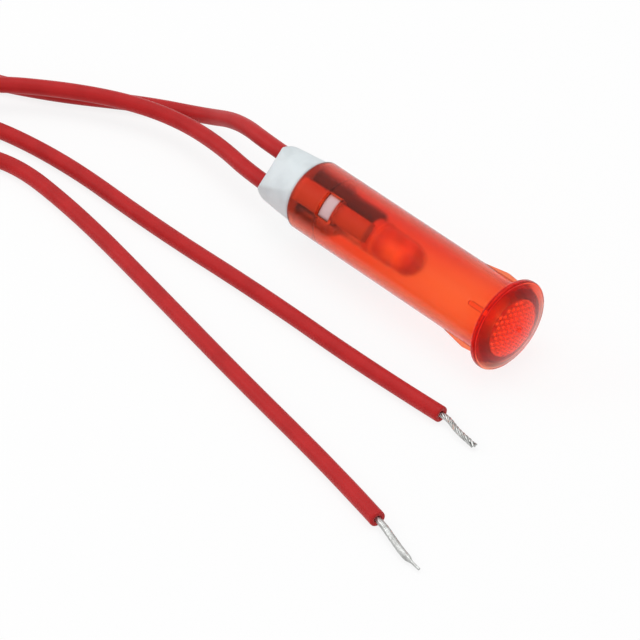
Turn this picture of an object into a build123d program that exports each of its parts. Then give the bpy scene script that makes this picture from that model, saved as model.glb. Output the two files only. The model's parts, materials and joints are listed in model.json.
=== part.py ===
"""Snap-in panel indicator: moulded red lens barrel, nylon wire plug, 3 mm LED and two free leads.

Millimetres. The lamp lies on a flat surface. X is the barrel's axis, +X towards the lens, +Z is up,
and the origin is on the axis in the plane of the flange's back face.
"""
import os
from math import cos, pi, radians, sin, sqrt, tan

from build123d import *

# ---- driving dimensions -------------------------------------------------------------------------
roll = 42.5                 # the latch windows lean this far from upright, towards -Y

flange_diameter = 8.1
flange_thickness = 0.5
flange_edge_radius = 0.16
dome_diameter = 7.7
dome_rise = 0.95            # apex above the flange's front face

barrel_diameter = 6.25
barrel_length = 22.2        # flange back face to open rear edge
draft_length = 5.2          # the stretch behind the flange that widens a little
draft_growth = 0.06         # on the radius, at the flange
mouth_chamfer = 0.22
bore_diameter = 5.0
lens_thickness = 0.9        # dome's apex to the pip field's floor
plug_bore_diameter = 5.3
plug_bore_depth = 3.0

window_length = 1.5
window_width = 2.15
window_from_mouth = 3.1     # mouth to the window's rear wall

rib_width = 0.4
key_length = 1.9            # straight ribs, in line with the windows
key_height = 0.3
barb_length = 4.5           # wedge ribs, in line with the leads
barb_height = 0.38
barb_crest = 2.15           # crest to flange
barb_root_height = 0.16     # height left at the flange
barb_crest_radius = 0.9
rib_root = 0.25             # how deep the ribs start inside the wall

pip_pitch = 0.52
pip_radius = 0.23
pip_height = 0.16
pip_sides = 6
pip_taper = 32
pip_field_radius = 2.28

plug_length = 3.7           # the part that stays outside the barrel
plug_front_diameter = 5.8
plug_rear_diameter = 5.5
plug_rear_width = 5.0
plug_rear_thickness = 4.3
plug_corner_radius = 0.8
plug_edge_radius = 0.45
spigot_clearance = 0.05
arm_width = 2.0
tongue_width = 1.6          # the arm in front of its window
tongue_overlap = 0.5        # the tongues reach past the LED's base and hold its rim
tongue_clearance = 0.02     # to the LED's rim
arm_clearance = 0.08        # to the bore
hook_gap = 0.2              # hook to the window's rear wall
hook_front_gap = 0.1
hook_recess = 0.22          # hook top below the barrel's skin

lead_pitch = 2.9
insulation_diameter = 1.4
insulation_bore = 0.6
conductor_diameter = 0.52
hole_clearance = 0.03
insulation_inset = 2.65     # how far the insulation reaches into the plug
lead_exit_run = 2.3         # straight run behind the plug
crossing_gap = 0.2          # between the leads where one passes over the other
strip_upper = 4.0           # bare conductor at the far ends
strip_lower = 6.0
lap_gap = 0.02              # conductor to LED lead where they are lapped
lap_bend_rear = 0.6         # the bend beside the plug's front face ends this far behind it
lap_bend_front = 0.3
lap_bend_radius = 0.5

led_base_inset = 7.5        # barrel's mouth to the LED's base
led_length = 5.3
led_diameter = 2.9
led_rim_diameter = 3.2
led_rim_thickness = 0.9
led_rim_flat = 1.45         # axis to the flat on the cathode side
led_lead_width = 0.4
led_lead_pitch = 2.54
led_lead_length = 5.3       # behind the LED's base
frame_thickness = 0.5
post_height = 2.7           # LED base to the top of the posts
post_flare = 1.5            # LED base to where the posts widen
post_slant = 0.5
anode_head_edge = 0.6
cathode_head_edge = 0.42
cup_radius = 0.22
cup_floor_radius = 0.16
cup_depth = 0.14
die_size = 0.2
die_height = 0.1
bond_wire_radius = 0.03
bond_wire_sides = 6
bond_wire_rise = 0.45
bond_wire_foot = 0.85

solder_radius = 0.54
solder_length = 2.0
solder_chamfer = 0.1
solder_inset = 0.15         # LED lead beyond the solder
sleeve_radius = 0.66
sleeve_bore_radius = 0.56
sleeve_rear_inset = 0.1     # into the plug, behind the barrel's mouth
sleeve_gap = 0.06           # to the LED's base
channel_clearance = 0.05
lap_toward = 0.255          # axis of solder and sleeve above the lead plane
lap_along = 1.325           # axis of solder and sleeve from the lamp's axis

# ---- planes and worked-out values ---------------------------------------------------------------
lean_y, lean_z = cos(radians(roll)), sin(radians(roll))
# across: x along the row of leads, y to a window
# section: x along the barrel, y to a window
# plan: x along the barrel, y along the row of leads
across = Plane(origin=(0, 0, 0), x_dir=(0, lean_y, lean_z), z_dir=(1, 0, 0))
section = Plane(origin=(0, 0, 0), x_dir=(1, 0, 0), z_dir=(0, -lean_y, -lean_z))
plan = Plane(origin=(0, 0, 0), x_dir=(1, 0, 0), z_dir=(0, -lean_z, lean_y))

flange_radius = flange_diameter / 2
barrel_radius = barrel_diameter / 2
bore_radius = bore_diameter / 2
plug_bore_radius = plug_bore_diameter / 2
mouth = -barrel_length
lens_apex = flange_thickness + dome_rise
bore_end = lens_apex - lens_thickness
window_rear = mouth + window_from_mouth
window_front = window_rear + window_length
led_base = mouth + led_base_inset
led_tip = led_base + led_length
lead_end = led_base - led_lead_length
strand_offset = led_lead_width / 2 + lap_gap + conductor_diameter / 2
plug_rear = mouth - plug_length
insulation_start = plug_rear + insulation_inset
surface = -flange_radius
lying = surface + insulation_diameter / 2      # a lead's centre where it lies on the surface
stacked = lying + insulation_diameter + crossing_gap    # and where it passes over the other lead


def lamp_point(x, along, toward):
    """A point given along the axis, along the row of leads and towards the upper window."""
    return Vector(x, along * lean_y - toward * lean_z, along * lean_z + toward * lean_y)


# ---- lens barrel: flange, dome, ribs, latch windows and pips in one moulding ---------------------
with BuildPart() as lens_barrel:
    with BuildSketch(section):
        with BuildLine():
            apex = (lens_apex, 0)
            dome_foot = (flange_thickness, dome_diameter / 2)
            TangentArc(apex, dome_foot, tangent=(0, 1))
            Polyline(
                dome_foot,
                (flange_thickness, flange_radius),
                (0, flange_radius),
                (0, barrel_radius + draft_growth),
                (-draft_length, barrel_radius),
                (mouth + mouth_chamfer, barrel_radius),
                (mouth, barrel_radius - mouth_chamfer),
                (mouth, plug_bore_radius),
                (mouth + plug_bore_depth, plug_bore_radius),
                (mouth + plug_bore_depth, bore_radius),
                (bore_end, bore_radius),
                (bore_end, 0),
                apex,
            )
        make_face()
    revolve(axis=Axis.X)
    rim_edges = lens_barrel.edges().filter_by(GeomType.CIRCLE)
    fillet(rim_edges.filter_by(lambda e: abs(e.radius - flange_radius) < 0.001), flange_edge_radius)

    # straight key ribs on the window side and opposite
    with BuildSketch(plan.offset(barrel_radius - rib_root)):
        with Locations((-(key_length - rib_width / 2) / 2, 0)):
            Rectangle(key_length - rib_width / 2, rib_width)
        with Locations((-key_length + rib_width / 2, 0)):
            Circle(rib_width / 2)
    key = extrude(amount=rib_root + key_height)
    mirror(key, about=plan)

    # wedge ribs that grip the panel, in the plane of the leads
    with BuildSketch(plan) as barb_profile:
        with BuildLine():
            root = barrel_radius - rib_root
            Polyline(
                (0, root),
                (0, barrel_radius + barb_root_height),
                (-barb_crest, barrel_radius + barb_height),
                (-barb_length, barrel_radius),
                (-barb_length, root),
                (0, root),
            )
        make_face()
        fillet(barb_profile.vertices().sort_by(Axis.Y)[-1], barb_crest_radius)
    barb = extrude(amount=rib_width / 2, both=True)
    mirror(barb, about=section)

    # latch windows through both sides
    with BuildSketch(plan):
        with Locations(((window_rear + window_front) / 2, 0)):
            Rectangle(window_length, window_width)
    extrude(amount=flange_diameter, both=True, mode=Mode.SUBTRACT)

    # light-spreading pips on the floor of the bore
    grid_reach = int(pip_field_radius / pip_pitch) + 2
    grid = [
        ((column + row % 2 / 2) * pip_pitch, row * pip_pitch * sqrt(3) / 2)
        for row in range(-grid_reach, grid_reach + 1)
        for column in range(-grid_reach, grid_reach + 1)
    ]
    pip_spots = [spot for spot in grid if Vector(*spot).length < pip_field_radius]
    with BuildSketch(Plane(origin=(bore_end, 0, 0), x_dir=across.x_dir, z_dir=(-1, 0, 0))):
        with Locations(*pip_spots):
            RegularPolygon(pip_radius, pip_sides)
    extrude(amount=pip_height, taper=pip_taper)
lens_barrel.part.label = "lens_barrel"

# ---- nylon plug: tapered body, spigot, wire channels and two latch arms --------------------------
spigot_radius = plug_bore_radius - spigot_clearance
spigot_end = mouth + plug_bore_depth - spigot_clearance
arm_inner_face = led_rim_diameter / 2 + tongue_clearance
tongue_end = led_base + tongue_overlap
channel_radius = sleeve_radius + channel_clearance
channel_start = insulation_start + hole_clearance
hole_radius = insulation_diameter / 2 + hole_clearance

with BuildPart() as wire_plug:
    with BuildSketch(section):
        with BuildLine():
            Polyline(
                (mouth, 0),
                (mouth, plug_front_diameter / 2),
                (plug_rear, plug_rear_diameter / 2),
                (plug_rear, 0),
                close=True,
            )
        make_face()
    revolve(axis=Axis.X)
    # narrower to the rear, with round corners
    with BuildSketch(plan) as plug_outline:
        with BuildLine():
            front_half, rear_half = plug_front_diameter / 2, plug_rear_width / 2
            Polyline(
                (mouth, -front_half),
                (mouth, front_half),
                (plug_rear, rear_half),
                (plug_rear, -rear_half),
                close=True,
            )
        make_face()
        fillet(plug_outline.vertices().group_by(Axis.X)[0], plug_corner_radius)
    extrude(amount=flange_diameter, both=True, mode=Mode.INTERSECT)
    # flats towards the rear, on both window sides
    with BuildSketch(section) as flats_outline:
        with BuildLine():
            front_half, rear_half = plug_front_diameter / 2, plug_rear_thickness / 2
            Polyline(
                (mouth, -front_half),
                (mouth, front_half),
                (plug_rear, rear_half),
                (plug_rear, -rear_half),
                close=True,
            )
        make_face()
        fillet(flats_outline.vertices().group_by(Axis.X)[0], plug_edge_radius)
    extrude(amount=flange_diameter, both=True, mode=Mode.INTERSECT)

    # spigot and latch arms
    with BuildSketch(across.offset(mouth)):
        Circle(spigot_radius)
    extrude(amount=spigot_end - mouth)
    for width, end in ((arm_width, window_front), (tongue_width, tongue_end)):
        with BuildSketch(across.offset(mouth)):
            Circle(bore_radius - arm_clearance)
            Rectangle(width, flange_diameter, mode=Mode.INTERSECT)
            Rectangle(flange_diameter, 2 * arm_inner_face, mode=Mode.SUBTRACT)
        extrude(amount=end - mouth)
    with BuildSketch(across.offset(window_rear + hook_gap)):
        Circle(barrel_radius - hook_recess)
        Rectangle(arm_width, flange_diameter, mode=Mode.INTERSECT)
        Rectangle(flange_diameter, 2 * arm_inner_face, mode=Mode.SUBTRACT)
    extrude(amount=window_length - hook_gap - hook_front_gap)

    # wire holes, and the channels for the sleeved joints, open towards the upper window
    with BuildSketch(across.offset(plug_rear)):
        with Locations((lead_pitch / 2, 0), (-lead_pitch / 2, 0)):
            Circle(hole_radius)
    extrude(amount=channel_start - plug_rear, mode=Mode.SUBTRACT)
    with BuildSketch(across.offset(channel_start)):
        with Locations((lap_along, lap_toward), (-lap_along, lap_toward)):
            Circle(channel_radius)
    extrude(amount=spigot_end - channel_start, mode=Mode.SUBTRACT)
    with BuildSketch(across.offset(mouth)):
        slot_width = spigot_radius - arm_width / 2
        slot_centre = (spigot_radius + arm_width / 2) / 2
        with Locations(*((at, lap_toward + spigot_radius / 2) for at in (-slot_centre, slot_centre))):
            Rectangle(slot_width, spigot_radius)
    extrude(amount=spigot_end - mouth, mode=Mode.SUBTRACT)
wire_plug.part.label = "wire_plug"

# ---- LED: two posts, die and bond wire in a clear epoxy body -------------------------------------
post_top = led_base + post_height
post_widens = led_base + post_flare
half_lead = led_lead_width / 2
post_centre = led_lead_pitch / 2

with BuildPart() as led_cathode:
    with BuildSketch(across.offset(lead_end)):
        with Locations((-post_centre, 0)):
            Rectangle(led_lead_width, led_lead_width)
    extrude(amount=post_widens - lead_end)
    with BuildSketch(plan):
        with BuildLine():
            Polyline(
                (post_widens - post_slant, -post_centre - half_lead),
                (post_top, -post_centre - half_lead),
                (post_top, cathode_head_edge),
                (post_widens + post_slant, cathode_head_edge),
                (post_widens, -post_centre + half_lead),
                (post_widens - post_slant, -post_centre + half_lead),
                close=True,
            )
        make_face()
    extrude(amount=frame_thickness / 2, both=True)
    with BuildSketch(across.offset(post_top)):
        Circle(cup_radius)
    with BuildSketch(across.offset(post_top - cup_depth)):
        Circle(cup_floor_radius)
    loft(mode=Mode.SUBTRACT)
led_cathode.part.label = "led_cathode"

with BuildPart() as led_anode:
    with BuildSketch(across.offset(lead_end)):
        with Locations((post_centre, 0)):
            Rectangle(led_lead_width, led_lead_width)
    extrude(amount=post_widens - lead_end)
    with BuildSketch(plan):
        with BuildLine():
            Polyline(
                (post_widens - post_slant, post_centre + half_lead),
                (post_top, post_centre + half_lead),
                (post_top, anode_head_edge),
                (post_widens + post_slant, anode_head_edge),
                (post_widens, post_centre - half_lead),
                (post_widens - post_slant, post_centre - half_lead),
                close=True,
            )
        make_face()
    extrude(amount=frame_thickness / 2, both=True)
led_anode.part.label = "led_anode"

die_floor = post_top - cup_depth
with BuildPart() as led_die:
    with BuildSketch(across.offset(die_floor)):
        Rectangle(die_size, die_size)
    extrude(amount=die_height)
led_die.part.label = "led_die"

with BuildPart() as led_bond_wire:
    with BuildLine(plan) as bond_path:
        ThreePointArc(
            (die_floor + die_height, 0),
            (post_top + bond_wire_rise, bond_wire_foot / 2),
            (post_top, bond_wire_foot),
        )
    with BuildSketch(Plane(origin=bond_path.line @ 0, z_dir=bond_path.line % 0)):
        RegularPolygon(bond_wire_radius, bond_wire_sides)
    sweep()
    add(led_die.part, mode=Mode.SUBTRACT)
    add(led_anode.part, mode=Mode.SUBTRACT)
led_bond_wire.part.label = "led_bond_wire"

with BuildPart() as led_epoxy:
    with BuildSketch(section):
        with BuildLine():
            dome_start = (led_tip - led_diameter / 2, led_diameter / 2)
            Polyline(
                (led_tip, 0),
                (led_base, 0),
                (led_base, led_rim_diameter / 2),
                (led_base + led_rim_thickness, led_rim_diameter / 2),
                (led_base + led_rim_thickness, led_diameter / 2),
                dome_start,
            )
            TangentArc(dome_start, (led_tip, 0), tangent=(1, 0))
        make_face()
    revolve(axis=Axis.X)
    with BuildSketch(across.offset(led_base)):
        with Locations((-led_rim_flat - led_diameter / 2, 0)):
            Rectangle(led_diameter, led_diameter * 2)
    extrude(amount=led_rim_thickness, mode=Mode.SUBTRACT)
    for inner_piece in (led_cathode, led_anode, led_die, led_bond_wire):
        add(inner_piece.part, mode=Mode.SUBTRACT)
led_epoxy.part.label = "led_epoxy"

# ---- leads: one route each, hollow insulation round a full-length conductor ----------------------
# The upper lead lies flat. The lower one climbs over it behind the plug and comes down again
# past the returning run, and both loops lie on the surface.
upper_exit = [lamp_point(x, lead_pitch / 2, 0) for x in (insulation_start, plug_rear - lead_exit_run)]
lower_exit = [lamp_point(x, -lead_pitch / 2, 0) for x in (insulation_start, plug_rear - lead_exit_run)]
upper_route = upper_exit + [
    Vector(-33.4, 2.3, -0.1),
    Vector(-38.3, 3.0, -2.9),
    Vector(-43.4, 0.8, lying),
    Vector(-49.6, -3.8, lying),
    Vector(-56.2, -7.4, lying),
    Vector(-64.6, -8.0, lying),
    Vector(-72.6, -7.0, lying),
    Vector(-77.1, -10.1, lying),
    Vector(-78.8, -15.2, lying),
    Vector(-77.0, -20.2, lying),
    Vector(-72.6, -23.2, lying),
    Vector(-67.2, -22.9, lying),
    Vector(-60.4, -17.4, lying),
    Vector(-52.9, -11.1, lying),
    Vector(-43.2, -9.2, lying),
    Vector(-31.0, -9.5, lying),
    Vector(-18.8, -9.0, lying),
    Vector(-6.4, -9.1, lying),
    Vector(1.6, -8.7, lying),
]
lower_route = lower_exit + [
    Vector(-33.2, -0.1, -1.3),
    Vector(-38.2, 0.1, -1.7),
    Vector(-43.0, -1.2, stacked),
    Vector(-48.0, -4.0, stacked),
    Vector(-53.4, -8.2, stacked),
    Vector(-57.0, -13.8, stacked),
    Vector(-59.6, -19.2, -1.7),
    Vector(-62.6, -24.6, -2.9),
    Vector(-63.8, -30.8, lying),
    Vector(-60.2, -36.0, lying),
    Vector(-54.1, -37.2, lying),
    Vector(-48.9, -33.6, lying),
    Vector(-47.9, -27.4, lying),
    Vector(-51.5, -22.0, lying),
    Vector(-50.9, -16.1, lying),
    Vector(-46.3, -12.3, lying),
    Vector(-36.8, -12.9, lying),
    Vector(-25.0, -15.0, lying),
    Vector(-12.6, -17.3, lying),
    Vector(0.2, -19.4, lying),
    Vector(6.7, -20.8, lying),
]


def corner_radii(route):
    """The largest arc that each corner's two runs allow, with a tenth of the run left straight."""
    share = 0.45
    radii = []
    for before, corner, after in zip(route, route[1:], route[2:]):
        run_in, run_out = corner - before, after - corner
        half_turn = radians(run_in.get_angle(run_out) / 2)
        radii.append(share * min(run_in.length, run_out.length) / tan(half_turn))
    return radii


def swept_ring(route, radii, outer_radius, inner_radius=0):
    """A round rod or tube along a route of straight runs joined by tangent arcs."""
    with BuildPart() as ring:
        with BuildLine() as path:
            FilletPolyline(*route, radius=radii)
        with BuildSketch(Plane(origin=path.line @ 0, z_dir=path.line % 0)):
            Circle(outer_radius)
            if inner_radius:
                Circle(inner_radius, mode=Mode.SUBTRACT)
        sweep()
    return ring.part, sum(edge.length for edge in path.edges())


def bare_conductor(route, radii, side, strip):
    """The conductor: lapped beside the LED lead, bent into the wire hole, and bare at the far end."""
    lap_front = lead_end + solder_inset + solder_length
    along = side * lead_pitch / 2
    tip = route[-1] + (route[-1] - route[-2]).normalized() * strip
    points = [
        lamp_point(lap_front, along, strand_offset),
        lamp_point(mouth + lap_bend_front, along, strand_offset),
        lamp_point(mouth - lap_bend_rear, along, 0),
        *route[1:-1],
        tip,
    ]
    return swept_ring(points, [lap_bend_radius, lap_bend_radius, *radii], conductor_diameter / 2)


for name, route in (("upper", upper_route), ("lower", lower_route)):
    print(name, "lead radii", [round(radius, 1) for radius in corner_radii(route)])

ring_radii = insulation_diameter / 2, insulation_bore / 2
upper_radii, lower_radii = corner_radii(upper_route), corner_radii(lower_route)
upper_lead_insulation, upper_length = swept_ring(upper_route, upper_radii, *ring_radii)
upper_lead_insulation.label = "upper_lead_insulation"
lower_lead_insulation, lower_length = swept_ring(lower_route, lower_radii, *ring_radii)
lower_lead_insulation.label = "lower_lead_insulation"
upper_lead_conductor, upper_core_length = bare_conductor(upper_route, upper_radii, 1, strip_upper)
upper_lead_conductor.label = "upper_lead_conductor"
lower_lead_conductor, lower_core_length = bare_conductor(lower_route, lower_radii, -1, strip_lower)
lower_lead_conductor.label = "lower_lead_conductor"
ring_area = pi * (insulation_diameter**2 - insulation_bore**2) / 4
core_area = pi * conductor_diameter**2 / 4
for name, solid, length, area in (
    ("upper insulation", upper_lead_insulation, upper_length, ring_area),
    ("lower insulation", lower_lead_insulation, lower_length, ring_area),
    ("upper conductor", upper_lead_conductor, upper_core_length, core_area),
    ("lower conductor", lower_lead_conductor, lower_core_length, core_area),
):
    print(name, "length", round(length, 2), "volume ratio", round(solid.volume / (length * area), 5))


# ---- soldered laps and the heat-shrink sleeve ----------------------------------------------------
def soldered_lap(side):
    """Solder round the LED lead and the conductor lapped on it."""
    with BuildPart() as solder:
        with BuildSketch(across.offset(lead_end + solder_inset)):
            with Locations((side * lap_along, lap_toward)):
                Circle(solder_radius)
        extrude(amount=solder_length)
        chamfer(solder.edges().filter_by(GeomType.CIRCLE), solder_chamfer)
        with BuildSketch(across.offset(lead_end + solder_inset)):
            with Locations((side * lead_pitch / 2, strand_offset)):
                Circle(conductor_diameter / 2)
            with Locations((side * post_centre, 0)):
                Rectangle(led_lead_width, led_lead_width)
        extrude(amount=solder_length, mode=Mode.SUBTRACT)
    return solder.part


upper_solder_joint = soldered_lap(1)
upper_solder_joint.label = "upper_solder_joint"
lower_solder_joint = soldered_lap(-1)
lower_solder_joint.label = "lower_solder_joint"

# the upper joint alone has a heat-shrink sleeve, from inside the plug to just behind the LED
sleeve_rear = mouth - sleeve_rear_inset
with BuildPart() as upper_sleeve:
    with BuildSketch(across.offset(sleeve_rear)):
        with Locations((lap_along, lap_toward)):
            Circle(sleeve_radius)
            Circle(sleeve_bore_radius, mode=Mode.SUBTRACT)
    extrude(amount=led_base - sleeve_gap - sleeve_rear)
upper_sleeve.part.label = "upper_sleeve"

# ---- export --------------------------------------------------------------------------------------
os.makedirs("parts", exist_ok=True)
export_step(lens_barrel.part, "parts/lens_barrel.step")
export_step(wire_plug.part, "parts/wire_plug.step")
export_step(led_epoxy.part, "parts/led_epoxy.step")
export_step(led_cathode.part, "parts/led_cathode.step")
export_step(led_anode.part, "parts/led_anode.step")
export_step(led_die.part, "parts/led_die.step")
export_step(led_bond_wire.part, "parts/led_bond_wire.step")
export_step(upper_lead_insulation, "parts/upper_lead_insulation.step")
export_step(lower_lead_insulation, "parts/lower_lead_insulation.step")
export_step(upper_lead_conductor, "parts/upper_lead_conductor.step")
export_step(lower_lead_conductor, "parts/lower_lead_conductor.step")
export_step(upper_solder_joint, "parts/upper_solder_joint.step")
export_step(lower_solder_joint, "parts/lower_solder_joint.step")
export_step(upper_sleeve.part, "parts/upper_sleeve.step")
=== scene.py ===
import json
from math import cos, pi, radians, sin

import bpy
from mathutils import Matrix, Vector, noise


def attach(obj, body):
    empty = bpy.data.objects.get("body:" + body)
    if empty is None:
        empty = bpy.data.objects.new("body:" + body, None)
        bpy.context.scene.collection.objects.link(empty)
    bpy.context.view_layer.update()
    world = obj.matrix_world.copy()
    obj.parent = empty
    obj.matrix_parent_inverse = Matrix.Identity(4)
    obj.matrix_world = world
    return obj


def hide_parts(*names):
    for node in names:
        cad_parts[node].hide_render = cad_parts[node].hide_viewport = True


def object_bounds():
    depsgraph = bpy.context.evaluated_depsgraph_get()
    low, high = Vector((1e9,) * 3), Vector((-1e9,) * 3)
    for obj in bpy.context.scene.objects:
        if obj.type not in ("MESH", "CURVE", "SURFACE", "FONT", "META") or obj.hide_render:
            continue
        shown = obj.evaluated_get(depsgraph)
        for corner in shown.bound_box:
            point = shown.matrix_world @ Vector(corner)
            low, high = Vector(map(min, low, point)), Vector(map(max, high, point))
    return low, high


mm = 0.001

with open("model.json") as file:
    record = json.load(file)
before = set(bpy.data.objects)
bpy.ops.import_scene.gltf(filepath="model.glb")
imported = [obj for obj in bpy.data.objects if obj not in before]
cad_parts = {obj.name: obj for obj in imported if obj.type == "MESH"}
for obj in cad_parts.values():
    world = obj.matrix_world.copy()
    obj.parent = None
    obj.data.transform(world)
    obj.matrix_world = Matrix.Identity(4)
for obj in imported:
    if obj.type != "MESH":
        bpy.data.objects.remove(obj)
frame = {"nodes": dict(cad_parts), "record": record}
nodes = frame["nodes"]
cadBox = [list(corner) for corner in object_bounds()]
scene = bpy.context.scene
print("frame loaded:", len(nodes), "nodes")


# shader maths: a wired socket reads like a number
class Wire:
    def __init__(self, shade, socket):
        self.shade = shade
        self.socket = socket

    def maths(self, operation, first, second=0.0):
        return self.shade.node("ShaderNodeMath", {"operation": operation}, {0: first, 1: second})

    def __add__(self, other):
        return self.maths("ADD", self, other)

    def __radd__(self, other):
        return self.maths("ADD", other, self)

    def __sub__(self, other):
        return self.maths("SUBTRACT", self, other)

    def __rsub__(self, other):
        return self.maths("SUBTRACT", other, self)

    def __mul__(self, other):
        return self.maths("MULTIPLY", self, other)

    def __rmul__(self, other):
        return self.maths("MULTIPLY", other, self)

    def __truediv__(self, other):
        return self.maths("DIVIDE", self, other)

    def __pow__(self, other):
        return self.maths("POWER", self, other)

    def __abs__(self):
        return self.maths("ABSOLUTE", self)

    def __gt__(self, other):
        return self.maths("GREATER_THAN", self, other)

    def __lt__(self, other):
        return self.maths("LESS_THAN", self, other)


rayOutputs = {"camera": 0, "shadow": 1, "glossy": 3, "through": 6, "matteBounces": 10}


class Shade:  # the nodes of a material, or of the world round the scene
    def __init__(self, name, world=False):
        self.owner = bpy.data.worlds.new(name) if world else bpy.data.materials.new(name)
        self.owner.use_nodes = True
        self.tree = self.owner.node_tree
        self.tree.nodes.clear()
        self.output = self.tree.nodes.new("ShaderNodeOutputWorld" if world else "ShaderNodeOutputMaterial")

    def node(self, kind, settings, sockets, out=0):
        made = self.tree.nodes.new(kind)
        for key, value in settings.items():
            setattr(made, key, value)
        for key, value in sockets.items():
            if isinstance(value, Wire):
                self.tree.links.new(value.socket, made.inputs[key])
            else:
                slot = made.inputs[key]
                slot.default_value = (*value, 1) if slot.type == "RGBA" and len(value) == 3 else value
        return Wire(self, made.outputs[out])

    def noise(self, vector, scale, detail=2.0, roughness=0.5):
        sockets = {"Vector": vector, "Scale": scale, "Detail": detail, "Roughness": roughness}
        return self.node("ShaderNodeTexNoise", {}, sockets)

    def spread(self, value, low, high, toLow=0.0, toHigh=1.0):
        sockets = {"Value": value, 1: low, 2: high, 3: toLow, 4: toHigh}
        return self.node("ShaderNodeMapRange", {"interpolation_type": "SMOOTHSTEP"}, sockets)

    def near(self, value, centre, inner, outer):  # 1 within inner of the centre, 0 from outer on
        return self.spread(abs(value - centre), inner, outer, 1.0, 0.0)

    def blend(self, factor, first, second):
        return self.node("ShaderNodeMix", {"data_type": "RGBA"}, {0: factor, 6: first, 7: second}, out=2)

    def ray(self, kind):
        return self.node("ShaderNodeLightPath", {}, {}, out=rayOutputs[kind])

    def place(self, stretch=(1, 1, 1)):  # the row frame, in millimetres
        point = self.node("ShaderNodeTexCoord", {}, {}, out=3)
        return self.node("ShaderNodeMapping", {}, {"Vector": point, "Scale": [1000 * s for s in stretch]})

    def lampAxes(self):  # x, y and z in the row frame, in millimetres
        point = self.node("ShaderNodeTexCoord", {}, {}, out=3)
        return [self.node("ShaderNodeSeparateXYZ", {}, {"Vector": point}, out=which) * 1000.0 for which in range(3)]

    def along(self, stretch=(1, 1, 1)):  # x round a cord in turns, y along it in millimetres
        point = self.node("ShaderNodeUVMap", {"uv_map": "along"}, {})
        return self.node("ShaderNodeMapping", {}, {"Vector": point, "Scale": stretch})

    def bump(self, height, strength, distance=1.0, under=None):
        sockets = {"Height": height, "Strength": strength, "Distance": distance * mm}
        if under:
            sockets["Normal"] = under
        return self.node("ShaderNodeBump", {}, sockets)

    def surface(self, shader):
        self.tree.links.new(shader.socket, self.output.inputs["Surface"])
        return self.owner

    def volume(self, shader):
        self.tree.links.new(shader.socket, self.output.inputs["Volume"])


def facing(y, z, axis):  # 1 where the round surface faces the axis, -1 where it faces away
    return (y * axis[0] + z * axis[1]) / (y * y + z * z + 0.01) ** 0.5


# red transparent plastic that lets the lamps through to what it holds
def tintedPlastic(name, look, marks):
    shade = Shade(name)
    grain = shade.noise(shade.place((0.5, 2.0, 2.0)), 1.1, 3.0)
    speck = shade.noise(shade.place(), 14.0, 2.0)
    flow = shade.noise(shade.place((0.25, 1.0, 1.0)), look["flowScale"], 2.0)
    x, y, z = shade.lampAxes()
    # painted light along the length: a painted glow brightens the barrel's front, a painted shade darkens the LED's
    # tip
    colour = shade.blend(shade.spread(x + grain * 4.0, *look["fadeFrom"]), look["tint"], look["frontTint"])
    # painted light on the upper side: painted shade on the barrel, a painted pale reflection on the LED
    top = shade.spread(facing(y, z, look["top"]), 0.15, 0.95) * shade.spread(x, -9.0, -1.0, 0.75, 0.3)
    colour = shade.blend(top, colour, look["topTint"])
    colour, glow = marks(shade, look, colour, x, y, z)
    body = shade.node(
        "ShaderNodeBsdfPrincipled",
        {},
        {
            "Base Color": colour,
            "Roughness": shade.spread(grain + speck * 0.4, 0.3, 1.0, look["gloss"], look["haze"]),
            "IOR": look["bend"],
            "Specular Tint": look["shine"],
            "Transmission Weight": look["clear"],
            "Sheen Weight": look["bloom"],
            "Sheen Roughness": 0.35,
            "Sheen Tint": (1.0, 0.86, 0.82),
            "Emission Color": glow,
            "Emission Strength": 1.0,
            "Normal": shade.bump(flow, look["flow"], 0.2),
        },
    )
    through = shade.node("ShaderNodeBsdfTransparent", {}, {"Color": look["lampTint"]})
    shade.volume(shade.node("ShaderNodeVolumeAbsorption", {}, {"Color": look["deep"], "Density": look["density"]}))
    return shade.surface(shade.node("ShaderNodeMixShader", {}, {0: shade.ray("shadow"), 1: body, 2: through}))


# lengths in millimetres, and squared distances from the barrel's axis
lensLook = {
    "tint": (1.0, 0.40, 0.30),
    "frontTint": (1.0, 0.60, 0.40),
    "fadeFrom": (-20.0, -2.0),
    "top": (0.52, 0.85),  # which way the upper side faces, as y and z; that side gets painted shade
    "topTint": (0.88, 0.24, 0.24),
    "seam": -19.2,  # the step in the bore shows as a painted shade line
    "seamWidth": (0.03, 0.11),
    "seamInside": (7.2, 7.6),
    "seamTint": (0.12, 0.02, 0.02),
    "dome": (0.1, 0.3),
    "domeTint": (1.0, 0.36, 0.24),
    "proud": (9.9, 10.2),  # the wedge ribs stand proud of the wall and get a painted shade
    "barbTint": (0.92, 0.30, 0.18),
    "rim": (8.6, 10.6),
    "rimOuter": (12.5, 15.8),
    "rimTurn": (-2.6, 1.6),
    # the rim: painted shade below, a painted reflection on its outer edge, painted light above
    "rimLow": (0.22, 0.09, 0.09),
    "rimEdge": (1.0, 0.62, 0.56),
    "rimHigh": (1.0, 0.13, 0.07),
    "key": (cos(radians(42.5)), sin(radians(42.5))),  # across the key ribs, as y and z
    "keyHalf": 0.2,
    "keyTip": (-1.75, -1.65),
    "keyReach": (9.0, 9.2),
    "keyTint": (0.35, 0.05, 0.05),
    "bloom": 0.05,
    "shine": (0.26, 0.16, 0.15),
    "gloss": 0.17,
    "haze": 0.25,
    "flowScale": 1.2,
    "flow": 0.03,
    "bend": 1.46,
    "clear": 0.98,
    "lampTint": (0.90, 0.42, 0.24),
    "deep": (0.9995, 0.45, 0.06),
    "density": 1550.0,
}
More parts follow.
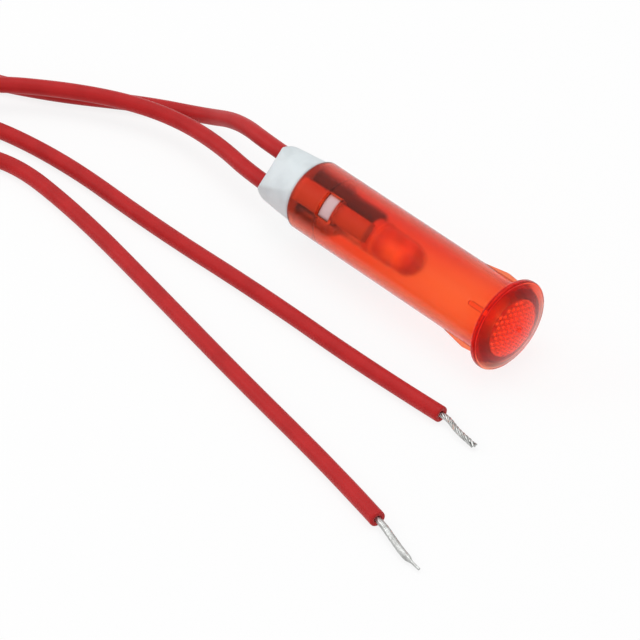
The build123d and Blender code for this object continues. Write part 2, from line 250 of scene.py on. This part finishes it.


# painted shade at the step in the bore, a deeper red dome, painted shade on the ribs and key flanks, and painted
# light and shade on the rim
def lensMarks(shade, look, colour, x, y, z):
    radial = y * y + z * z
    # a painted shade line where the step in the bore blocks the light
    seam = shade.near(x, look["seam"], *look["seamWidth"]) * shade.spread(radial, *look["seamInside"], 1.0, 0.0)
    colour = shade.blend(seam * 0.95, colour, look["seamTint"])
    colour = shade.blend(shade.spread(x, *look["dome"]), colour, look["domeTint"])
    # painted shade on the wedge ribs
    colour = shade.blend(shade.spread(radial, *look["proud"]), colour, look["barbTint"])
    # the rim gets painted shade on its lower side, a painted pale reflection at its outer edge there, and painted
    # light on its upper side
    low = shade.blend(shade.spread(radial, *look["rimOuter"]), look["rimLow"], look["rimEdge"])
    rimLightAndShade = shade.blend(shade.spread(z - y * 0.3, *look["rimTurn"]), low, look["rimHigh"])
    colour = shade.blend(shade.spread(radial, *look["rim"]) * shade.spread(x, -0.1, 0.1), colour, rimLightAndShade)
    # painted shade lines along the flanks of the key ribs
    keyY, keyZ = look["key"]
    across, reach = y * keyY + z * keyZ, z * keyY - y * keyZ
    flank = shade.near(abs(across), look["keyHalf"], 0.03, 0.08) * shade.spread(x, *look["keyTip"])
    flank = flank * shade.spread(x, -0.1, 0.0, 1.0, 0.0) * shade.spread(reach * reach, *look["keyReach"])
    return shade.blend(flank * 0.5, colour, look["keyTint"]), (0, 0, 0)


epoxyLook = {
    "tint": (1.0, 0.50, 0.25),
    "frontTint": (0.78, 0.16, 0.08),
    "fadeFrom": (-11.0, -8.2),
    # the LED's upper side gets a painted pale reflection
    "top": (0.52, 0.85),
    "topTint": (1.0, 0.95, 0.80),
    # where the painted highlight sits, and the colours of the highlight and its glow
    "cup": -11.6,
    "cupFacing": (-0.811, 0.584),
    "cupSpread": (0.3, 1.7),
    "rimFront": -13.8,
    "glint": (1.0, 0.86, 0.55),
    "glow": (0.24, 0.055, 0.01),
    "bloom": 0.0,
    "shine": (1.0, 0.8, 0.7),
    "gloss": 0.06,
    "haze": 0.16,
    "flowScale": 0.9,
    "flow": 0.08,
    "bend": 1.53,
    "clear": 0.50,
    "lampTint": (0.96, 0.70, 0.45),
    "deep": (0.98, 0.75, 0.50),
    "density": 300.0,
}


# a painted highlight on one side of the dome, which also glows a little though the LED is unlit, and a painted
# highlight on the front edge of the base rim
def epoxyMarks(shade, look, colour, x, y, z):
    faces = facing(y, z, look["cupFacing"])
    paintedHighlight = shade.spread(faces, 0.68, 1.0) * shade.near(x, look["cup"], *look["cupSpread"])
    paintedHighlight = paintedHighlight + shade.near(x, look["rimFront"], 0.05, 0.3) * shade.spread(faces, -0.2, 0.6) * 0.7
    return shade.blend(paintedHighlight, colour, look["glint"]), shade.blend(paintedHighlight, (0, 0, 0), look["glow"])


nylonLook = {
    "pale": (0.70, 0.755, 0.775),
    "shaded": (0.62, 0.67, 0.69),
    "inside": (-22.2, -21.4),  # from here on it gets painted red light from the barrel, and the arm deeper inside a painted red shade
    "paintedRedShade": (0.50, 0.50, 0.36),
    "paintedRedLight": (0.62, 0.41, 0.42),
    "window": (7.3, 8.2),  # the latch hooks' squared distances from the axis
    "grain": 0.10,
    "edge": 0.55,
    "gloss": 0.38,
    "haze": 0.55,
}


def nylon(look):
    shade = Shade("nylonWhite")
    cloud = shade.noise(shade.place(), 0.55, 3.0)
    speck = shade.noise(shade.place(), 9.0, 3.0)
    colour = shade.blend(shade.spread(cloud, 0.35, 0.7), look["pale"], look["shaded"])
    x, y, z = shade.lampAxes()
    # painted red light on the latch hooks in the windows, painted red shade on the arm deeper inside
    caught = shade.blend(shade.spread(y * y + z * z, *look["window"]), look["paintedRedShade"], look["paintedRedLight"])
    colour = shade.blend(shade.spread(x, *look["inside"]), colour, caught)
    edge = shade.node("ShaderNodeBevel", {"samples": 8}, {"Radius": look["edge"] * mm})
    normal = shade.bump(speck + cloud * 1.5, look["grain"], 0.08, edge)
    return shade.surface(
        shade.node(
            "ShaderNodeBsdfPrincipled",
            {"subsurface_method": "RANDOM_WALK"},
            {
                "Base Color": colour,
                "Roughness": shade.spread(speck, 0.2, 0.8, look["gloss"], look["haze"]),
                "IOR": 1.53,
                "Subsurface Weight": 0.35,
                "Subsurface Radius": (1.0, 0.95, 0.85),
                "Subsurface Scale": 0.6 * mm,
                "Normal": normal,
            },
        )
    )


jacketLook = {
    "red": (0.50, 0.013, 0.014),
    "deepRed": (0.41, 0.008, 0.009),
    "pale": (0.60, 0.04, 0.042),
    "bloom": 0.20,
    "gloss": 0.42,
    "haze": 0.60,
    "relief": 0.22,
}


def leadJacket(look):
    shade = Shade("pvcRed")
    drawn = shade.noise(shade.along((14.0, 0.05, 1.0)), 2.2, 3.0)  # die lines, drawn out along the lead
    cloud = shade.noise(shade.along((1.0, 0.22, 1.0)), 2.0, 3.0)
    speck = shade.noise(shade.place(), 11.0, 3.0)
    colour = shade.blend(shade.spread(cloud + drawn * 0.4, 0.4, 1.0), look["deepRed"], look["red"])
    colour = shade.blend(shade.spread(speck, 0.58, 0.8, 0.0, 0.35), colour, look["pale"])
    normal = shade.bump(drawn * 0.5 + speck * 0.35 + cloud, look["relief"], 0.05)
    return shade.surface(
        shade.node(
            "ShaderNodeBsdfPrincipled",
            {},
            {
                "Base Color": colour,
                "Roughness": shade.spread(speck + drawn, 0.5, 1.5, look["gloss"], look["haze"]),
                "IOR": 1.5,
                "Specular IOR Level": 0.2,
                "Sheen Weight": look["bloom"],
                "Sheen Roughness": 0.4,
                "Sheen Tint": (1.0, 0.80, 0.80),
                "Subsurface Weight": 0.1,
                "Subsurface Radius": (1.0, 0.15, 0.1),
                "Subsurface Scale": 0.3 * mm,
                "Normal": normal,
            },
        )
    )


def metal(name, look):
    shade = Shade(name)
    stretch = look.get("stretch", (1, 1, 1))
    scratch = shade.noise(shade.place(stretch), look["scale"], 4.0)
    cloud = shade.noise(shade.place(), 1.4, 2.0)
    colour = shade.blend(shade.spread(cloud * 0.6 + scratch * 0.4, 0.3, 0.7), look["bright"], look["dull"])
    if "bare" in look:  # copper shows where the tin is thin
        colour = shade.blend(shade.spread(shade.noise(shade.place(), 3.2, 3.0), 0.6, 0.75), colour, look["bare"])
    return shade.surface(
        shade.node(
            "ShaderNodeBsdfPrincipled",
            {},
            {
                "Base Color": colour,
                "Metallic": 1.0,
                "Roughness": shade.spread(scratch, 0.25, 0.75, look["gloss"], look["haze"]),
                "Normal": shade.bump(scratch, look["relief"], 0.03),
            },
        )
    )


def sleeve(name, look):
    shade = Shade(name)
    speck = shade.noise(shade.place(), 8.0, 3.0)
    drawn = shade.noise(shade.place((0.2, 2.0, 2.0)), 2.5, 2.0)
    colour = shade.blend(shade.spread(drawn, 0.3, 0.75), look["dark"], look["light"])
    return shade.surface(
        shade.node(
            "ShaderNodeBsdfPrincipled",
            {},
            {
                "Base Color": colour,
                "Roughness": shade.spread(speck, 0.2, 0.8, 0.4, 0.6),
                "IOR": 1.5,
                "Normal": shade.bump(speck + drawn, 0.25, 0.04),
            },
        )
    )


tinLook = {
    "bright": (0.53, 0.54, 0.53),
    "dull": (0.33, 0.33, 0.32),
    "scale": 5.0,
    "gloss": 0.22,
    "haze": 0.42,
    "relief": 0.3,
}
materials = {
    "lens_red": tintedPlastic("lensRed", lensLook, lensMarks),
    "led_red": tintedPlastic("ledRed", epoxyLook, epoxyMarks),
    "nylon_white": nylon(nylonLook),
    "pvc_red": leadJacket(jacketLook),
    "tinned_copper": metal("tinnedCopper", {**tinLook, "gloss": 0.32, "haze": 0.5, "bare": (0.60, 0.38, 0.30)}),
    "tin_solid": metal("tinSolid", {**tinLook, "relief": 0.12, "gloss": 0.34, "haze": 0.5}),
    "led_frame": metal("ledFrame", {**tinLook, "scale": 3.0, "stretch": (0.2, 2, 2)}),
    "solder": metal("solder", {**tinLook, "gloss": 0.12, "haze": 0.3}),
    "bond_gold": metal("bondGold", {**tinLook, "bright": (1.0, 0.74, 0.30), "dull": (0.8, 0.55, 0.2)}),
    "led_chip": metal("ledChip", {**tinLook, "bright": (0.30, 0.27, 0.25), "dull": (0.16, 0.14, 0.13)}),
    "sleeve_black": sleeve("sleeveBlack", {"dark": (0.008, 0.008, 0.008), "light": (0.02, 0.02, 0.02)}),
}
slotOf = {part["node"]: part["material_slot"] for part in frame["record"]["subparts"]}


def dress(piece, material):
    piece.data.materials.clear()
    piece.data.materials.append(material)


for name, piece in nodes.items():
    dress(piece, materials[slotOf[name]])
print("materials:", len(materials))


def smooth(piece, angle=30):
    for face in piece.data.polygons:
        face.use_smooth = True
    piece.data.set_sharp_from_angle(angle=radians(angle))


# camera first, then the cords
camera = {
    "away": 450.0,
    "aim": Vector((-11.0, 0.0, 0.0)),
    "towards": Vector((0.5388, -0.5203, 0.6626)),
    "right": Vector((0.6947, 0.7193, 0.0)),
    "up": Vector((-0.4766, 0.4603, 0.7490)),
    "slide": (-7.186, -4.982),
    "lens": 312.0,
    "sensor": 36.0,
    "clip": (0.01, 10.0),
}


def placeCamera(setup):
    data = bpy.data.cameras.new("camera")
    data.lens = setup["lens"]
    data.sensor_width = setup["sensor"]
    data.clip_start, data.clip_end = setup["clip"]
    rig = bpy.data.objects.new("camera", data)
    scene.collection.objects.link(rig)
    spot = setup["aim"] + setup["towards"] * setup["away"]
    spot = spot + setup["right"] * setup["slide"][0] + setup["up"] * setup["slide"][1]
    turn = Matrix((setup["right"], setup["up"], setup["towards"])).transposed()
    rig.matrix_world = Matrix.LocRotScale(spot * mm, turn.to_quaternion(), None)
    scene.camera = rig


placeCamera(camera)

lead = {
    "roll": 42.5,
    "pitch": 2.9,
    "radius": 0.7,
    "bore": 0.28,
    "entry": -23.25,
    "exitRun": -28.2,
    "lying": -3.35,
    "crossing": -1.75,
}
leanY, leanZ = cos(radians(lead["roll"])), sin(radians(lead["roll"]))


def lampPoint(x, along, toward):  # along the row of leads, and towards the upper window
    return (x, along * leanY - toward * leanZ, along * leanZ + toward * leanY)


low, high = lead["lying"], lead["crossing"]
upperRoute = [
    lampPoint(lead["entry"], lead["pitch"] / 2, 0),
    lampPoint(lead["exitRun"], lead["pitch"] / 2, 0),
    (-33.4, 2.3, -0.1),
    (-38.3, 3.0, -2.9),
    (-43.4, 0.8, low),
    (-49.6, -3.8, low),
    (-56.2, -7.4, low),
    (-64.6, -8.0, low),
    (-72.6, -7.0, low),
    (-77.1, -10.1, low),
    (-78.8, -15.2, low),
    (-77.0, -20.2, low),
    (-72.6, -23.2, low),
    (-67.2, -22.9, low),
    (-60.4, -17.4, low),
    (-52.9, -11.1, low),
    (-43.2, -9.2, low),
    (-31.0, -9.5, low),
    (-18.8, -9.0, low),
    (-6.4, -9.1, low),
    (1.6, -8.7, low),
]
lowerRoute = [
    lampPoint(lead["entry"], -lead["pitch"] / 2, 0),
    lampPoint(lead["exitRun"], -lead["pitch"] / 2, 0),
    (-33.2, -0.1, -1.3),
    (-38.2, 0.1, -1.7),
    (-43.0, -1.2, high),
    (-48.0, -4.0, high),
    (-53.4, -8.2, high),
    (-57.0, -13.8, high),
    (-59.6, -19.2, -1.7),
    (-62.6, -24.6, -2.9),
    (-63.8, -30.8, low),
    (-60.2, -36.0, low),
    (-54.1, -37.2, low),
    (-48.9, -33.6, low),
    (-47.9, -27.4, low),
    (-51.5, -22.0, low),
    (-50.9, -16.1, low),
    (-46.3, -12.3, low),
    (-36.8, -12.9, low),
    (-25.0, -15.0, low),
    (-12.6, -17.3, low),
    (0.2, -19.4, low),
    (6.7, -20.8, low),
]
# the bare ends bend a little where they were twisted
upperBare = [(2.4, -8.66, low), (3.6, -9.05, -3.42), (4.85, -9.15, -3.55), (5.95, -9.2, -3.65)]
lowerBare = [(7.8, -21.05, low), (9.5, -21.62, -3.42), (11.1, -22.02, -3.6), (12.6, -22.12, -3.75)]


def splineOf(name, points, fineness):  # the smooth line that a cord follows, as Blender works it out
    data = bpy.data.curves.new(name, "CURVE")
    data.dimensions = "3D"
    data.resolution_u = fineness
    spline = data.splines.new("NURBS")
    spline.points.add(len(points) - 1)
    for handle, point in zip(spline.points, points):
        handle.co = (*(value * mm for value in point), 1)
    spline.order_u = 3
    spline.use_endpoint_u = True
    holder = bpy.data.objects.new(name, data)
    mesh = bpy.data.meshes.new_from_object(holder)
    line = [vertex.co.copy() for vertex in mesh.vertices]
    bpy.data.objects.remove(holder)
    bpy.data.meshes.remove(mesh)
    return line


class Track:  # a line with a frame that doesn't twist, read by length in metres
    def __init__(self, line):
        self.line = line
        self.lengths = [0.0]
        for a, b in zip(line, line[1:]):
            self.lengths.append(self.lengths[-1] + (b - a).length)
        self.total = self.lengths[-1]
        self.tangents = []
        for i in range(len(line)):
            self.tangents.append((line[min(i + 1, len(line) - 1)] - line[max(i - 1, 0)]).normalized())
        side = self.tangents[0].cross(Vector((0, 0, 1))).normalized()
        self.sides = []
        for tangent in self.tangents:
            side = (side - tangent * side.dot(tangent)).normalized()
            self.sides.append(side)

    def at(self, length):
        length = min(max(length, 0.0), self.total)
        low, high = 0, len(self.lengths) - 1
        while high - low > 1:
            middle = (low + high) // 2
            if self.lengths[middle] <= length:
                low = middle
            else:
                high = middle
        share = (length - self.lengths[low]) / max(self.lengths[high] - self.lengths[low], 1e-9)
        point = self.line[low].lerp(self.line[high], share)
        tangent = self.tangents[low].lerp(self.tangents[high], share).normalized()
        side = self.sides[low].lerp(self.sides[high], share)
        side = (side - tangent * side.dot(tangent)).normalized()
        return point, tangent, side, tangent.cross(side)


# rings of points joined into one skin: each ring is (length along, [(side, up) for each corner])
def skin(name, track, rings, closed=False):
    count = len(rings[0][1])
    points, faces, places = [], [], []
    for length, outline in rings:
        point, _, side, up = track.at(length)
        points += [point + side * a + up * b for a, b in outline]
        places += [(i / count, length / mm) for i in range(count)]
    loops = len(rings) if closed else len(rings) - 1
    for r in range(loops):
        s = (r + 1) % len(rings)
        for i in range(count):
            j = (i + 1) % count
            faces.append((r * count + i, r * count + j, s * count + j, s * count + i))
    if not closed:
        faces.append(tuple(reversed(range(count))))
        faces.append(tuple(range((len(rings) - 1) * count, len(rings) * count)))
    mesh = bpy.data.meshes.new(name)
    mesh.from_pydata(points, [], faces)
    layer = mesh.uv_layers.new(name="along")
    for face in mesh.polygons:
        for k in face.loop_indices:
            corner = mesh.loops[k].vertex_index
            turn, run = places[corner]
            if turn == 0 and any(places[mesh.loops[n].vertex_index][0] > 0.6 for n in face.loop_indices):
                turn = 1.0  # the last face round a ring ends at one whole turn
            layer.data[k].uv = (turn, run)
    piece = bpy.data.objects.new(name, mesh)
    scene.collection.objects.link(piece)
    smooth(piece, 40)
    return piece


def ringOf(radius, count, squash=0.0, lobes=0.0, turned=0.0, ripple=None):
    outline = []
    for i in range(count):
        angle = 2 * pi * i / count
        reach = radius * (1 + lobes * cos(6 * (angle - turned)))
        if ripple:
            reach *= 1 + ripple(angle)
        outline.append((reach * cos(angle), reach * (1 - squash) * sin(angle)))
    return outline


jacket = {"sides": 28, "rim": 0.09, "waver": 0.010, "waverLength": 0.35, "fineness": 12}


def leadJacketPiece(name, route, seed):
    line = splineOf(name + "Line", route, jacket["fineness"])
    track = Track(line)
    end = track.total
    outer, inner, rim = lead["radius"] * mm, lead["bore"] * mm, jacket["rim"] * mm

    def waver(length):  # the wall is a touch uneven along its run
        return jacket["waver"] * (noise.noise(Vector((length / mm * jacket["waverLength"], seed, 0.5))) - 1)

    def ring(length, radius):
        return length, ringOf(radius, jacket["sides"])

    def outerRing(length, radius):
        return ring(length, radius * (1 + waver(length)))

    rings = [ring(0, outer - rim), outerRing(rim, outer)]
    rings += [outerRing(s, outer) for s in track.lengths[1:-1] if 2 * rim < s < end - 6 * rim]
    rings += [outerRing(end - 4 * rim, outer), outerRing(end - 1.2 * rim, outer)]
    rings += [outerRing(end - 0.4 * rim, outer - 0.25 * rim), ring(end, outer - 1.2 * rim)]  # the cut end
    rings += [ring(end - 0.2 * rim, inner + rim), ring(end - 0.9 * rim, inner)]
    rings += [ring(s, inner) for s in reversed(track.lengths[1:-1]) if s < end - 4 * rim]
    rings.append(ring(0, inner))
    piece = skin(name, track, rings, closed=True)
    dress(piece, materials["pvc_red"])
    return piece, line


def declareCord(piece, line, node):
    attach(piece, "root")
    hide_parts(node)
    length = sum((b - a).length for a, b in zip(line, line[1:]))
    print(piece.name, "length", round(length / mm, 1), "mm")


upperJacket, upperLine = leadJacketPiece("upperJacket", upperRoute, 3.1)
lowerJacket, lowerLine = leadJacketPiece("lowerJacket", lowerRoute, 8.7)
declareCord(upperJacket, upperLine, "upper_lead_insulation")
declareCord(lowerJacket, lowerLine, "lower_lead_insulation")

core = {
    "radius": 0.26,
    "lapStart": -17.85,
    "lapToward": 0.48,
    "bendFront": -21.9,
    "bendRear": -22.8,
}


def coreRoute(route, side, bare):
    half = side * lead["pitch"] / 2
    start = [
        lampPoint(core["lapStart"], half, core["lapToward"]),
        lampPoint(core["bendFront"], half, core["lapToward"]),
        lampPoint(core["bendRear"], half, 0),
    ]
    return start + route[1:] + bare


strands = {
    "radius": 0.087,
    "lay": 2.4,  # the length of one whole twist
    "step": 0.22,
    "trims": (0.0, 0.35, 0.05, 0.5, 0.15, 0.6, 0.28),  # how far short each one is cut
    "opensOver": 1.2,
    "opensBy": 0.35,
    "turnsBy": 0.5,
    "sides": 8,
    "fineness": 14,
}


# seven twisted strands; they open out a little at the cut tip
def twistedCore(name, route):
    line = splineOf(name + "Line", route, strands["fineness"])
    track = Track(line)
    meshes = []
    step = strands["step"] * mm
    radius = strands["radius"] * mm
    count = int(track.total / step)
    for k, trim in enumerate(value * mm for value in strands["trims"]):
        strandLine = []
        for i in range(count + 1):
            s = min(i * step, track.total - trim)
            point, _, side, up = track.at(s)
            left = track.total - s
            spread = 0.0 if k == 0 else core["radius"] * mm - radius  # the first one runs down the middle
            turn = 2 * pi * (k / 6 + s / (strands["lay"] * mm))
            loose = max(0.0, 1 - left / (strands["opensOver"] * mm))
            spread *= 1 + strands["opensBy"] * loose**2 * (0.6 + 0.4 * sin(5 * k))
            turn += strands["turnsBy"] * loose * sin(3.7 * k)
            strandLine.append(point + (side * cos(turn) + up * sin(turn)) * spread)
            if s >= track.total - trim:
                break
        strand = Track(strandLine)
        rings = [(s, ringOf(radius, strands["sides"])) for s in strand.lengths]
        meshes.append(skin(f"{name}Strand{k}", strand, rings))
    return joined(name, meshes), line


def joined(name, pieces):
    with bpy.context.temp_override(active_object=pieces[0], selected_editable_objects=pieces):
        bpy.ops.object.join()
    pieces[0].name = name
    pieces[0].data.name = name
    return pieces[0]


tinned = {
    "bare": 6.0,  # the stretch outside the insulation
    "flat": 0.20,
    "swell": 0.16,
    "lobes": 0.02,
    "coveredLobes": 0.08,
    "lay": 3.84,
    "bumps": 0.03,
    "point": 1.5,  # one strand sticks out past the tin
    "pointFrom": 0.8,
    "pointSize": 0.42,
    "tip": 0.02,
    "fineRun": 7.0,
    "fineRings": 60,
    "sides": 36,
    "fineness": 16,
}


# strands run together with tin, pressed a little flat, ending in one thin wire
def tinnedCore(name, route):
    line = splineOf(name + "Line", route, tinned["fineness"])
    track = Track(line)
    end, fineRun = track.total, tinned["fineRun"] * mm
    lengths = [s for s in track.lengths if s < end - fineRun - 0.1 * mm]
    lengths += [end - fineRun + fineRun * i / tinned["fineRings"] for i in range(tinned["fineRings"] + 1)]

    def bumpsAt(length):
        return lambda angle: tinned["bumps"] * noise.noise(Vector((cos(angle), sin(angle), length / mm * 0.9)))

    rings = []
    for s in lengths:
        left = (end - s) / mm
        radius, flat, lobes = core["radius"], 0.0, tinned["coveredLobes"]
        if left < tinned["bare"]:
            bare = (tinned["bare"] - left) / tinned["bare"]
            flat = tinned["flat"] * sin(pi * min(1.0, bare * 1.2)) ** 2
            radius *= 1.0 + tinned["swell"] * sin(pi * bare) ** 0.6
            lobes = tinned["lobes"]
        if left < tinned["point"]:
            whole = min(1.0, max(0.0, (left - tinned["pointFrom"]) / (tinned["point"] - tinned["pointFrom"])))
            radius *= tinned["pointSize"] + (1 - tinned["pointSize"]) * whole * whole * (3 - 2 * whole)
            lobes *= whole
        turned = s / (tinned["lay"] * mm) * 2 * pi
        rings.append((s, ringOf(radius * mm, tinned["sides"], flat, lobes, turned, bumpsAt(s))))
    rings.append((end, ringOf(tinned["tip"] * mm, tinned["sides"])))
    return skin(name, track, rings), line


upperCore, upperCoreLine = twistedCore("upperCore", coreRoute(upperRoute, 1, upperBare))
lowerCore, lowerCoreLine = tinnedCore("lowerCore", coreRoute(lowerRoute, -1, lowerBare))
dress(upperCore, materials["tinned_copper"])
dress(lowerCore, materials["tin_solid"])
declareCord(upperCore, upperCoreLine, "upper_lead_conductor")
declareCord(lowerCore, lowerCoreLine, "lower_lead_conductor")
print("leads made")

# CAD nodes that stay: rounder shading on their curved walls
roundedNodes = ("lens_barrel", "wire_plug", "led_epoxy", "led_bond_wire", "upper_sleeve")
roundedNodes += ("upper_solder_joint", "lower_solder_joint", "led_cathode", "led_anode", "led_die")
for name in roundedNodes:
    smooth(nodes[name])


studioLook = {
    "half": 2.0,  # metres from the middle of the floor to its edges
    "white": 0.93,
    "glow": 0.84,  # the share of plain white that the camera sees; the rest keeps the shadow
    "sky": 0.56,  # for light that has met a matte surface on its way
    "seen": 1.0,
}
lamps = {
    "overhead": {"spot": (-60, 40, 420), "size": 340, "power": 0.66},
    "left": {"spot": (-330, -160, 220), "size": 240, "power": 0.31},
    "front": {"spot": (260, -300, 240), "size": 260, "power": 0.27},
}
lampAim = (-11.0, 0.0, 0.0)


def floorPlane(look):
    mesh = bpy.data.meshes.new("floor")
    half, level = look["half"], cadBox[0][2]
    corners = [(x * half, y * half, level) for x, y in ((-1, -1), (1, -1), (1, 1), (-1, 1))]
    mesh.from_pydata(corners, [], [(0, 1, 2, 3)])
    floor = bpy.data.objects.new("floor", mesh)
    scene.collection.objects.link(floor)
    shade = Shade("floorWhite")
    matte = shade.node("ShaderNodeBsdfDiffuse", {}, {"Color": (look["white"],) * 3})
    white = shade.node("ShaderNodeEmission", {}, {"Color": (1, 1, 1), "Strength": 1.0})
    share = shade.ray("camera") * look["glow"] + shade.ray("glossy") + shade.ray("through")
    share = share.maths("MINIMUM", share, shade.ray("matteBounces") < 0.5)
    dress(floor, shade.surface(shade.node("ShaderNodeMixShader", {}, {0: share, 1: matte, 2: white})))
    return floor


def surroundings(look):
    shade = Shade("surroundings", world=True)
    strength = (shade.ray("matteBounces") > 0.5) * (look["sky"] - look["seen"]) + look["seen"]
    return shade.surface(shade.node("ShaderNodeBackground", {}, {"Color": (1, 1, 1), "Strength": strength}))


def softLamp(name, lamp):
    data = bpy.data.lights.new(name, "AREA")
    data.shape = "DISK"
    data.size = lamp["size"] * mm
    data.energy = lamp["power"]
    rig = bpy.data.objects.new(name, data)
    rig.location = Vector(lamp["spot"]) * mm
    rig.rotation_euler = (Vector(lampAim) * mm - rig.location).to_track_quat("-Z", "Y").to_euler()
    scene.collection.objects.link(rig)


floorPlane(studioLook)
scene.world = surroundings(studioLook)
for name, lamp in lamps.items():
    softLamp(name, lamp)
scene.view_settings.view_transform = "Standard"
print("studio set")
